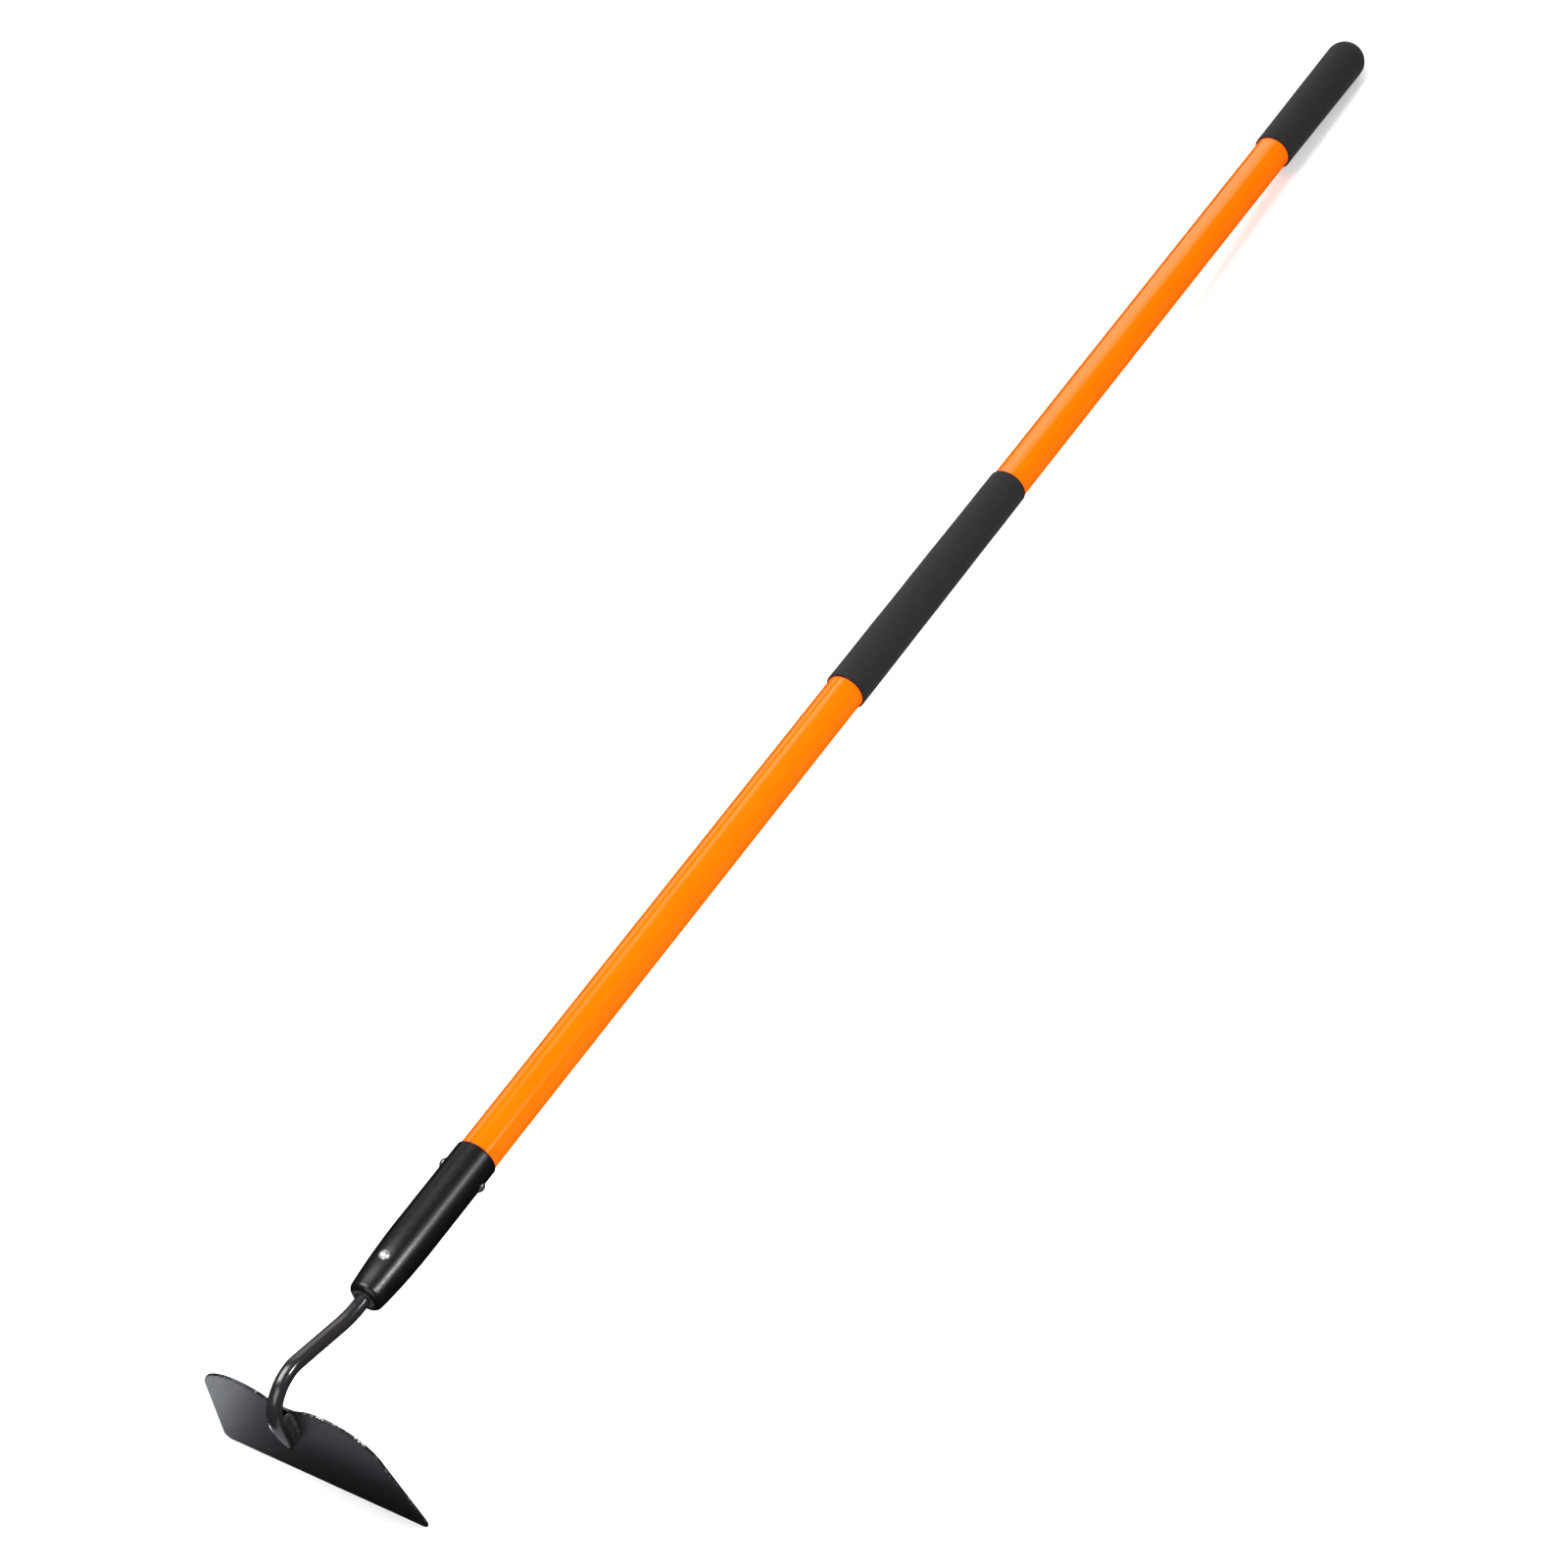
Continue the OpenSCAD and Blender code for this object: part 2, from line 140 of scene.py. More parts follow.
# X along the cutting edge, Y up the plate from it, Z out of the outer face
BLADE = place(OUTER_AT - PLATE_UP * OUTER_AT.z / PLATE_UP.z, ACROSS, PLATE_UP)


# --- Making meshes ---

def arc(centre, radius, start, end, step=5):
    """Points of an arc, from one angle to another in degrees."""
    steps = max(1, math.ceil(abs(end - start) / step))
    angles = [math.radians(start + (end - start) * i / steps) for i in range(steps + 1)]
    return [(centre[0] + radius * math.cos(a), centre[1] + radius * math.sin(a)) for a in angles]


def spaced(start, end, step):
    """Numbers from start to end, both included, no further apart than step."""
    count = max(1, math.ceil(abs(end - start) / step))
    return [start + (end - start) * i / count for i in range(count + 1)]


def finished(name, mesh_source, matrix, material, node, flat_angle=35):
    """Turns a bmesh in millimetres into a piece that stands for a CAD node.

    It is shaded smooth, except across edges of more than flat_angle.
    """
    bmesh.ops.transform(mesh_source, matrix=matrix @ Matrix.Scale(MM, 4), verts=mesh_source.verts)
    bmesh.ops.recalc_face_normals(mesh_source, faces=mesh_source.faces)
    mesh = bpy.data.meshes.new(name)
    mesh_source.to_mesh(mesh)
    mesh_source.free()
    mesh.set_sharp_from_angle(angle=math.radians(flat_angle))
    piece = bpy.data.objects.new(name, mesh)
    bpy.context.scene.collection.objects.link(piece)
    mesh.materials.append(material)
    for face in mesh.polygons:
        face.use_smooth = True
    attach(piece, "root")
    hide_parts(node)
    return piece


def loft(rings, closed=False):
    """A bmesh through rings of points, all with the same count. A ring of one point closes an end."""
    made = bmesh.new()
    loops = [[made.verts.new(p) for p in ring] for ring in rings]
    pairs = list(zip(loops, loops[1:]))
    if closed:
        pairs.append((loops[-1], loops[0]))
    for low, high in pairs:
        count = max(len(low), len(high))
        for i in range(count):
            j = (i + 1) % count
            corners = [low[i % len(low)], low[j % len(low)], high[j % len(high)], high[i % len(high)]]
            made.faces.new(list(dict.fromkeys(corners)))
    return made


def turned(profile, closed=False, shift=None):
    """A bmesh turned about the Y axis from (radius, distance) points.

    shift(angle, distance, radius), with its angle in radians, is added to each point's radius.
    """
    rings = []
    for radius, at in profile:
        if radius == 0:
            rings.append([(0, at, 0)])
            continue
        ring = []
        for i in range(ROUND):
            angle = 2 * math.pi * i / ROUND
            grown = radius + (shift(angle, at, radius) if shift else 0)
            ring.append((grown * math.sin(angle), at, grown * math.cos(angle)))
        rings.append(ring)
    return loft(rings, closed)


# --- Materials ---

def add(tree, kind, inputs=None, **props):
    """A new node. An input that is given a socket is linked to it; any other gets that value."""
    made = tree.nodes.new("ShaderNode" + kind)
    for key, value in props.items():
        setattr(made, key, value)
    for key, value in (inputs or {}).items():
        if isinstance(value, bpy.types.NodeSocket):
            tree.links.new(value, made.inputs[key])
        else:
            made.inputs[key].default_value = value
    return made


def new_material(name, **settings):
    """A material with one Principled shader, whose constant inputs are set on its own sockets."""
    material = bpy.data.materials.new(name)
    material.use_nodes = True
    tree = material.node_tree
    shader = tree.nodes["Principled BSDF"]
    for key, value in settings.items():
        shader.inputs[key.replace("_", " ").title().replace("Ior", "IOR")].default_value = value
    return material, tree, shader


def millimetres(tree, stretch=(1, 1, 1)):
    """Coordinates in millimetres along the handle's axes. Patterns are drawn out where stretch is above 1."""
    inputs = {
        "Vector": add(tree, "TexCoord").outputs["Object"],
        "Location": HANDLE.translation,
        "Rotation": HANDLE.to_euler(),
        "Scale": [MM * s for s in stretch],
    }
    return add(tree, "Mapping", inputs, vector_type="TEXTURE").outputs["Vector"]


def noisy(tree, where, size, detail=3.0, roughness=0.5):
    """Noise from 0 to 1 whose lumps are about size millimetres wide."""
    inputs = {"Vector": where, "Scale": 1 / size, "Detail": detail, "Roughness": roughness}
    return add(tree, "TexNoise", inputs).outputs["Fac"]


def up_handle(tree, where):
    """How far up the handle a point is from the ferrule's mouth. It is below 0 towards the blade."""
    return add(tree, "SeparateXYZ", {"Vector": where}).outputs["Y"]


def between(tree, value, low, high, start=0.0, end=1.0):
    """value mapped from low..high to start..end, and held there outside it."""
    inputs = {"Value": value, "From Min": low, "From Max": high, "To Min": start, "To Max": end}
    return add(tree, "MapRange", inputs, interpolation_type="SMOOTHSTEP").outputs["Result"]


def mixed(tree, factor, low, high):
    """A colour between two, by a factor. Each of them is a socket or a constant."""
    made = add(tree, "Mix", data_type="RGBA")
    # A Mix node has sockets for each data type. These are its factor, its two colours and its result.
    factor_at, low_at, high_at, result_at = 0, 6, 7, 2
    for key, value in ((factor_at, factor), (low_at, low), (high_at, high)):
        if isinstance(value, bpy.types.NodeSocket):
            tree.links.new(value, made.inputs[key])
        else:
            made.inputs[key].default_value = value if key == factor_at else (*value, 1)
    return made.outputs[result_at]


def times(tree, a, b):
    """Two numbers multiplied."""
    return add(tree, "Math", {0: a, 1: b}, operation="MULTIPLY").outputs["Value"]


def bumped(tree, shader, *layers):
    """Gives the shader a normal from (height, millimetres, strength) layers."""
    normal = None
    for height, depth, strength in layers:
        inputs = {"Height": height, "Distance": depth * MM, "Strength": strength}
        if normal is not None:
            inputs["Normal"] = normal
        normal = add(tree, "Bump", inputs).outputs["Normal"]
    tree.links.new(normal, shader.inputs["Normal"])


def link(tree, shader, **sockets):
    """Links sockets to the shader's inputs of the same names."""
    for key, socket in sockets.items():
        tree.links.new(socket, shader.inputs[key.replace("_", " ").title()])


def tube_paint():
    """Gloss orange powder coat: a faint orange peel, some fine handling marks and specks of dust."""
    material, tree, shader = new_material(
        "tube_paint", ior=1.5, specular_ior_level=0.45, coat_weight=0.18, coat_roughness=0.04
    )
    where = millimetres(tree)
    cloud = noisy(tree, where, 35, 2)
    specks = between(tree, noisy(tree, where, 0.9, 1), 0.78, 0.84)
    paint = mixed(tree, cloud, (1.0, 0.113, 0.0), (1.0, 0.127, 0.001))
    scuffs = between(tree, noisy(tree, millimetres(tree, (1, 40, 1)), 0.5, 4), 0.62, 0.75, 0, 0.5)
    dust = times(tree, specks, 0.35)
    colour = mixed(tree, dust, paint, (0.9, 0.55, 0.3))
    roughness = between(tree, times(tree, scuffs, cloud), 0, 0.3, 0.13, 0.24)
    link(tree, shader, base_color=colour, roughness=roughness)
    bumped(tree, shader, (noisy(tree, where, 1.6, 2), 0.02, 0.35), (noisy(tree, where, 9, 1), 0.03, 0.3))
    return material


def rising_run(tree, where):
    """1 on the bar's rising run, falling off to 0 through the first bend and over the top of the main one."""
    distance = up_handle(tree, where)
    before_main_bend = between(tree, distance, -215, -190)
    after_first_bend = between(tree, distance, -155, -138, 1, 0)
    return times(tree, after_first_bend, before_main_bend)


def black_paint(
    name, smoothest, shine, colour, peel, dust=0.5, tint=None, worn_edges=False, streaks=(1, 1, 1)
):
    """Black paint on steel, with clouds, dust and orange peel.

    smoothest is its lowest roughness, shine its specular level and peel the strength of its bumps. streaks
    draws out its rubbed marks. tint is a brown that shows through in clouds on the bar's rising run. Worn
    edges are bare metal where the mesh's edge attribute is high.
    """
    material, tree, shader = new_material(name, ior=1.5, specular_ior_level=shine)
    where = millimetres(tree)
    cloud = noisy(tree, where, 14, 3)
    lighter = [channel * 1.5 for channel in colour]
    paint = mixed(tree, cloud, colour, lighter)
    if tint:
        clouded = between(tree, noisy(tree, where, 9, 3), 0.30, 0.75)
        paint = mixed(tree, times(tree, rising_run(tree, where), clouded), paint, tint)
    specks = times(tree, between(tree, noisy(tree, where, 0.8, 2), 0.74, 0.80), dust)
    paint = mixed(tree, specks, paint, (0.30, 0.29, 0.27))
    rub = noisy(tree, millimetres(tree, streaks), 1.2, 5, 0.6)
    roughness = between(tree, rub, 0.3, 0.8, smoothest, smoothest + 0.14)
    if worn_edges:
        edge = add(tree, "Attribute", attribute_name="edge").outputs["Fac"]
        broken = between(tree, noisy(tree, where, 2.2, 5, 0.65), 0.56, 0.66)
        worn = times(tree, edge, broken)
        paint = mixed(tree, worn, paint, (0.42, 0.42, 0.43))
        link(tree, shader, metallic=worn)
    link(tree, shader, base_color=paint, roughness=roughness)
    bumped(tree, shader, (noisy(tree, where, 0.9, 2), 0.012, peel), (noisy(tree, where, 7, 2), 0.04, peel))
    return material


def weld_paint():
    """Rough weld under thin black paint, with a few bare spots and, on the nose, a rust-brown heat tint."""
    material, tree, shader = new_material("weld_paint", ior=1.5, specular_ior_level=0.7)
    where = millimetres(tree)
    on_nose = between(tree, up_handle(tree, where), -160, -140)
    heat = between(tree, noisy(tree, where, 4, 4, 0.65), 0.46, 0.72)
    colour = mixed(tree, times(tree, on_nose, heat), (0.028, 0.0275, 0.030), (0.060, 0.045, 0.035))
    bare = between(tree, noisy(tree, where, 1.4, 3), 0.68, 0.76)
    colour = mixed(tree, times(tree, bare, 0.5), colour, (0.16, 0.13, 0.10))
    roughness = between(tree, noisy(tree, where, 1.0, 3), 0.35, 0.7, 0.30, 0.62)
    link(tree, shader, base_color=colour, roughness=roughness)
    spatter = noisy(tree, where, 1.2, 3)
    ripples = noisy(tree, where, 3.5, 2)
    bumped(tree, shader, (spatter, 0.04, 0.15), (ripples, 0.12, 0.2))
    return material


def rivet_steel():
    """Bright plated steel, slightly scratched, with a painted dark reflection that darkens the handle rivet's
    heads towards the ferrule's mouth.
    """
    material, tree, shader = new_material("rivet_steel", metallic=0.75)
    where = millimetres(tree)
    cloud = between(tree, noisy(tree, where, 2.0, 4, 0.6), 0.34, 0.56)
    bright = mixed(tree, cloud, (0.22, 0.22, 0.23), (0.56, 0.565, 0.575))
    shaded_steel = mixed(tree, cloud, (0.05, 0.05, 0.05), (0.22, 0.21, 0.20))
    # Painted dark reflection: near the ferrule's mouth, where the handle rivet sits, the steel takes its
    # darker copy, which stands for the dark surroundings its heads mirror.
    painted_dark_reflection = between(tree, up_handle(tree, where), -60, -30)
    colour = mixed(tree, painted_dark_reflection, bright, shaded_steel)
    roughness = between(tree, noisy(tree, where, 0.7, 4), 0.35, 0.75, 0.33, 0.42)
    link(tree, shader, base_color=colour, roughness=roughness)
    bumped(tree, shader, (noisy(tree, where, 2.2, 1), 0.02, 0.15), (noisy(tree, where, 0.35, 3), 0.006, 0.3))
    return material


def grip_foam():
    """Charcoal foam rubber: open pores with painted shade in them, a faint mottle and a soft sheen."""
    material, tree, shader = new_material(
        "grip_foam", ior=1.45, specular_ior_level=0.5, sheen_weight=0.08, sheen_roughness=0.5
    )
    shader.inputs["Sheen Tint"].default_value = (0.85, 0.85, 0.9, 1)
    where = millimetres(tree)
    mottle = noisy(tree, where, 5, 4, 0.6)
    pores = add(tree, "TexVoronoi", {"Vector": where, "Scale": 1 / 0.55}, feature="F1").outputs["Distance"]
    skin = mixed(tree, mottle, (0.0045, 0.0043, 0.0045), (0.0085, 0.0082, 0.0085))
    # The pores are painted darker than the skin round them, as painted shade inside them.
    colour = mixed(tree, between(tree, pores, 0.05, 0.4), (0.004, 0.004, 0.004), skin)
    link(tree, shader, base_color=colour, roughness=between(tree, mottle, 0.3, 0.7, 0.78, 0.92))
    grain = noisy(tree, where, 0.45, 3, 0.6)
    bumped(tree, shader, (pores, 0.10, 0.5), (grain, 0.10, 0.55), (noisy(tree, where, 3, 2), 0.12, 0.4))
    return material


def core_wood():
    """Turned hardwood: long grain with darker rings."""
    material, tree, shader = new_material("core_wood", ior=1.45)
    along = millimetres(tree, (1, 14, 1))
    growth = {"Vector": along, "Scale": 0.12, "Distortion": 5.0, "Detail": 3.0}
    rings = add(tree, "TexWave", growth, wave_type="RINGS", rings_direction="Y").outputs["Fac"]
    fibre = noisy(tree, along, 0.8, 4)
    wood = mixed(tree, rings, (0.50, 0.33, 0.17), (0.30, 0.17, 0.075))
    colour = mixed(tree, times(tree, fibre, 0.5), wood, (0.62, 0.44, 0.25))
    link(tree, shader, base_color=colour, roughness=between(tree, fibre, 0.3, 0.7, 0.5, 0.7))
    bumped(tree, shader, (fibre, 0.08, 0.5), (rings, 0.05, 0.3))
    return material


def spigot_steel():
    """Turned steel with fine tool marks round it."""
    material, tree, shader = new_material("spigot_steel", metallic=1.0)
    where = millimetres(tree)
    turning = {"Vector": where, "Scale": 1.1, "Distortion": 0.4, "Detail": 2.0}
    marks = add(tree, "TexWave", turning, bands_direction="Y").outputs["Fac"]
    stain = noisy(tree, where, 12, 3)
    colour = mixed(tree, stain, (0.40, 0.41, 0.42), (0.56, 0.57, 0.58))
    link(tree, shader, base_color=colour, roughness=between(tree, stain, 0.3, 0.7, 0.28, 0.45))
    bumped(tree, shader, (marks, 0.02, 0.5), (noisy(tree, where, 0.5, 3), 0.01, 0.5))
    return material


def plug_plastic():
    """Moulded dark plastic with a fine spark-eroded grain."""
    material, tree, shader = new_material("plug_plastic", ior=1.46)
    where = millimetres(tree)
    flow = noisy(tree, where, 8, 3)
    colour = mixed(tree, flow, (0.030, 0.030, 0.032), (0.045, 0.045, 0.047))
    link(tree, shader, base_color=colour, roughness=between(tree, flow, 0.3, 0.7, 0.42, 0.55))
    bumped(tree, shader, (noisy(tree, where, 0.4, 3), 0.03, 0.5))
    return material


def floor_paper():
    """Seamless white studio paper with a barely visible tooth."""
    material, tree, shader = new_material("floor_paper", specular_ior_level=0.2)
    where = millimetres(tree)
    cloud = noisy(tree, where, 400, 2)
    white = mixed(tree, cloud, (0.93, 0.93, 0.93), (0.95, 0.95, 0.95))
    link(tree, shader, base_color=white, roughness=between(tree, cloud, 0, 1, 0.75, 0.9))
    bumped(tree, shader, (noisy(tree, where, 1.5, 3), 0.02, 0.2))
    return material


# --- Blade ---

def blade_outline():
    """The whole outline, anticlockwise from the right end of the cutting edge."""
    lean = math.radians(BLADE_LEAN)
    corner = (BLADE_W / 2 - BLADE_CORNER_R, BLADE_CORNER_R)
    side = corner[0] * math.cos(lean) + corner[1] * math.sin(lean) + BLADE_CORNER_R
    hump_y = BLADE_H - BLADE_HUMP_R
    hump = ((side - BLADE_HUMP_R - hump_y * math.sin(lean)) / math.cos(lean), hump_y)
    rise = BLADE_DIP_H - hump_y
    dip_r = (hump[0] ** 2 + rise ** 2 - BLADE_HUMP_R ** 2) / (2 * (BLADE_HUMP_R - rise))
    dip = (0, BLADE_DIP_H + dip_r)
    meet = math.degrees(math.atan2(dip[1] - hump[1], dip[0] - hump[0]))
    low = arc(corner, BLADE_CORNER_R, -90, BLADE_LEAN, 6)
    high = arc(hump, BLADE_HUMP_R, BLADE_LEAN, meet, 2.5)
    straight = [
        (low[-1][0] + (high[0][0] - low[-1][0]) * t, low[-1][1] + (high[0][1] - low[-1][1]) * t)
        for t in spaced(0, 1, 0.1)[1:-1]
    ]
    right = low + straight + high + arc(dip, dip_r, meet - 180, -90, 2.5)[1:]
    left = [(-x, y) for x, y in reversed(right[:-1])]
    bottom = [(x, 0) for x in spaced(left[-1][0], right[0][0], 10)[1:-1]]
    return right + left + bottom


def inner_depth(height):
    """How far the blade's inner face lies behind its outer one, at a height above the cutting edge."""
    ground = min(1, max(0, height) / BLADE_BEVEL)
    return BLADE_EDGE_T + (BLADE_T - BLADE_EDGE_T) * ground


def rim_ring(outline, turn, face):
    """The outline at an angle round its rounded rim: 0 is where the rounding leaves a face, 90 the very edge.

    face is 1 for the outer face and -1 for the inner one.
    """
    ring = []
    for i, point in enumerate(outline):
        along = (outline[(i + 1) % len(outline)] - outline[i - 1]).normalized()
        outward = Vector((along.y, -along.x))
        radius = min(BLADE_RIM_R, inner_depth(point.y) / 2)
        inset = radius * (1 - math.sin(math.radians(turn)))
        sink = radius * (1 - math.cos(math.radians(turn)))
        spot = point - outward * inset
        z = -sink if face > 0 else -inner_depth(spot.y) + sink
        ring.append((spot.x, spot.y, z))
    return ring


def fold_at_bevel(made, inner_face):
    """Cuts the flat inner face where the bevel starts, and lays the cut at the plate's full thickness."""
    geometry = [inner_face] + list(inner_face.edges) + list(inner_face.verts)
    cut = bmesh.ops.bisect_plane(made, geom=geometry, plane_co=(0, BLADE_BEVEL, 0), plane_no=(0, 1, 0))
    for item in cut["geom_cut"]:
        if isinstance(item, bmesh.types.BMVert):
            item.co.z = -BLADE_T


def blade():
    """The plate, with a rounded rim all the way round and a ground bevel behind its cutting edge."""
    outline = [Vector(p) for p in blade_outline()]
    count = len(outline)
    turns = [(t, 1) for t in spaced(0, 90, 18)] + [(t, -1) for t in spaced(90, 0, 18)]
    made = loft([rim_ring(outline, turn, face) for turn, face in turns])
    # The edge attribute is 1 at the very edge and 0 on the faces. The paint is worn off where it is high.
    edge = made.verts.layers.float.new("edge")
    made.verts.ensure_lookup_table()
    for index, vert in enumerate(made.verts):
        turn = turns[index // count][0]
        vert[edge] = math.sin(math.radians(turn))
    made.faces.new(made.verts[:count])
    inner_face = made.faces.new(made.verts[-count:])
    fold_at_bevel(made, inner_face)
    made.normal_update()
    black = (0.0085, 0.0085, 0.0110)
    paint = black_paint(
        "blade_paint", smoothest=0.32, shine=0.25, colour=black, peel=0.25, worn_edges=True,
        streaks=(1, 12, 1),
    )
    piece = finished("blade_plate", made, BLADE, paint, "blade", 20)
    weighted = piece.modifiers.new("flat_faces", "WEIGHTED_NORMAL")
    weighted.keep_sharp = True


# --- Gooseneck ---

def bar_path():
    """The bar's centreline in the hoe's middle plane, as (Y, Z, heading) from its tang to past its last bend.

    The heading is the angle, in radians, by which it rises from straight down the handle.
    """
    rise = math.radians(BAR_RISE)
    turn = math.radians(90 + BAR_RISE + BLADE_PITCH)
    y, z, heading = -HANDLE_RIVET_AT - TANG_END_TO_RIVET, 0.0, 0.0
    path = [(y, z, heading)]

    def run(length, step=3):
        nonlocal y, z
        count = max(1, math.ceil(length / step))
        for _ in range(count):
            y -= length / count * math.cos(heading)
            z += length / count * math.sin(heading)
            path.append((y, z, heading))

    def bend(radius, angle, count):
        nonlocal y, z, heading
        for _ in range(count):
            half = angle / count / 2
            chord = 2 * radius * math.sin(abs(half))
            heading += half
            y -= chord * math.cos(heading)
            z += chord * math.sin(heading)
            heading += half
            path.append((y, z, heading))

    run(FERRULE_LEN + BAR_EXIT + y)
    bend(BAR_FIRST_BEND_R, rise, 16)
    run(rising_length(y, z, rise, turn))
    bend(BAR_MAIN_BEND_R, -turn, 60)
    return path


def rising_length(y, z, rise, turn):
    """How long the rising run is, for the bar to end at its stand-off from the blade. Angles in radians."""
    bend_y = BAR_MAIN_BEND_R * (math.sin(rise) + math.sin(turn - rise))
    bend_z = BAR_MAIN_BEND_R * (math.cos(turn - rise) - math.cos(rise))
    end = Vector((0, y - bend_y, z + bend_z))
    to_blade = BLADE.inverted() @ HANDLE
    out = to_blade.to_3x3() @ Vector((0, -math.cos(rise), math.sin(rise)))
    return (BAR_STANDOFF - (to_blade @ (end * MM)).z / MM) / out.z


def bar_stations():
    """(Y, Z, heading, radius) all along the bar. Past its last bend it is drawn out to a blunt point."""
    path = bar_path()
    radius, point_radius = BAR_D / 2, BAR_POINT_D / 2
    y, z, heading = path[-1]
    height = (BLADE.inverted() @ (HANDLE @ (Vector((0, y, z)) * MM))).y / MM
    point_len = height - BAR_POINT_H
    stations = [(*p, radius) for p in path]
    for t in spaced(0, 1, 0.05)[1:]:
        shrunk = point_radius + (radius - point_radius) * (1 - t * t) ** 0.75
        step = point_len * t
        stations.append((y - step * math.cos(heading), z + step * math.sin(heading), heading, shrunk))
    return stations


def gooseneck():
    """The bent round bar, very slightly uneven, from its tang in the ferrule to its point on the blade."""
    unevenness = 0.05
    stations = bar_stations()
    rings = [[(0, stations[0][0], 0)]]
    for number, (y, z, heading, r) in enumerate(stations):
        ring = []
        for i in range(BAR_ROUND):
            angle = 2 * math.pi * i / BAR_ROUND
            spot = Vector((math.cos(angle), math.sin(angle), number * 0.21))
            drawn_in = r + unevenness * (noise.noise(spot) - 1)
            lift = drawn_in * math.cos(angle)
            across = drawn_in * math.sin(angle)
            ring.append((across, y + lift * math.sin(heading), z + lift * math.cos(heading)))
        rings.append(ring)
    rings.append([(0, stations[-1][0], stations[-1][1])])
    black = (0.015, 0.015, 0.0172)
    brown = (0.026, 0.0205, 0.0165)
    paint = black_paint(
        "bar_paint", smoothest=0.16, shine=0.70, colour=black, peel=0.2, dust=0.3, tint=brown
    )
    finished("gooseneck_bar", loft(rings), HANDLE, paint, "gooseneck_shank", 50)


# --- Welds ---

def melted(name, blobs, matrix, material, node):
    """One lumpy closed mesh from overlapping (centre, radii) blobs."""
    made = bmesh.new()
    for centre, radii in blobs:
        matrix_of_blob = Matrix.Translation(centre) @ Matrix.Diagonal((*radii, 1))
        bmesh.ops.create_icosphere(made, subdivisions=3, radius=1, matrix=matrix_of_blob)
    bmesh.ops.scale(made, vec=(MM, MM, MM), verts=made.verts)
    result = remeshed(name, made)
    bmesh.ops.scale(result, vec=(1 / MM, 1 / MM, 1 / MM), verts=result.verts)
    result.normal_update()
    lump_height, lump_scale = 0.14, 0.45
    dimension, lacunarity, octaves = 0.8, 2.2, 3
    for vert in result.verts:
        lump = noise.fractal(vert.co * lump_scale, dimension, lacunarity, octaves)
        vert.co += vert.normal * lump * lump_height
    finished(name, result, matrix, material, node, 60)


def remeshed(name, made):
    """One closed and smoothed mesh round all the parts of a bmesh in metres, which it frees."""
    voxel, smoothings = 0.35, 24
    rough = bpy.data.meshes.new(name + "_rough")
    made.to_mesh(rough)
    made.free()
    holder = bpy.data.objects.new(name + "_rough", rough)
    bpy.context.scene.collection.objects.link(holder)
    remesh = holder.modifiers.new("melt", "REMESH")
    remesh.mode = "VOXEL"
    remesh.voxel_size = voxel * MM
    smooth = holder.modifiers.new("settle", "SMOOTH")
    smooth.iterations = smoothings
    evaluated = holder.evaluated_get(bpy.context.evaluated_depsgraph_get())
    result = bmesh.new()
    result.from_mesh(evaluated.to_mesh())
    evaluated.to_mesh_clear()
    bpy.data.objects.remove(holder)
    bpy.data.meshes.remove(rough)
    return result


def blade_weld(name, side, material, node):
    """The web of weld that fills one side of the gap between the bar and the blade, as overlapping blobs."""
    top, length, blob_length, wavering = 97.5, 31, 2.4, 0.35
    # How far out from the middle and up from the blade each row of blobs lies, and its radii across and up.
    rows = (
        (5.7, 0.3, 1.9, 1.1),
        (4.4, 1.2, 2.4, 2.0),
        (3.6, 3.6, 2.3, 2.4),
        (3.1, 5.6, 2.1, 2.0),
        (3.2, 7.2, 1.7, 1.3),
    )
    blobs = []
    for t in spaced(0, 1, 0.045):
        thin = 1 - 0.65 * t * t
        wander = wavering * math.sin(t * 19 + side)
        for out, up, wide, tall in rows:
            centre = Vector((side * thin * (out + wander), top - length * t, up))
            blobs.append((centre, (wide * thin, blob_length, tall)))
    melted(name, blobs, BLADE, material, node)


def ferrule_weld(material):
    """The weld that fills the ferrule's nose round the bar, thicker at the two sides."""
    blobs = []
    count, sunk = 15, 0.9
    for i in range(count):
        angle = 2 * math.pi * i / count
        side = abs(math.sin(angle))    # 1 at the two sides, 0 at the top and bottom
        radius = BAR_D / 2 + 0.6 + 0.9 * side
        width = 1.6 + 0.5 * side
        depth = 0.7 + 1.1 * side + 0.3 * math.sin(i * 1.9)
        centre = Vector((radius * math.sin(angle), -FERRULE_LEN + sunk, radius * math.cos(angle)))
        blobs.append((centre, (width, depth, width)))
    melted("nose_weld_bead", blobs, HANDLE, material, "ferrule_weld")


# --- Ferrule and rivets ---

FERRULE_NOSE_AT = FERRULE_LEN - FERRULE_NOSE_R    # where its nose starts to round in


def ferrule_radius(at):
    """The ferrule's outer radius at a distance from its mouth."""
    past = max(0, at - FERRULE_STRAIGHT)
    return FERRULE_D / 2 - (FERRULE_CURVE_R - math.sqrt(FERRULE_CURVE_R ** 2 - past ** 2))


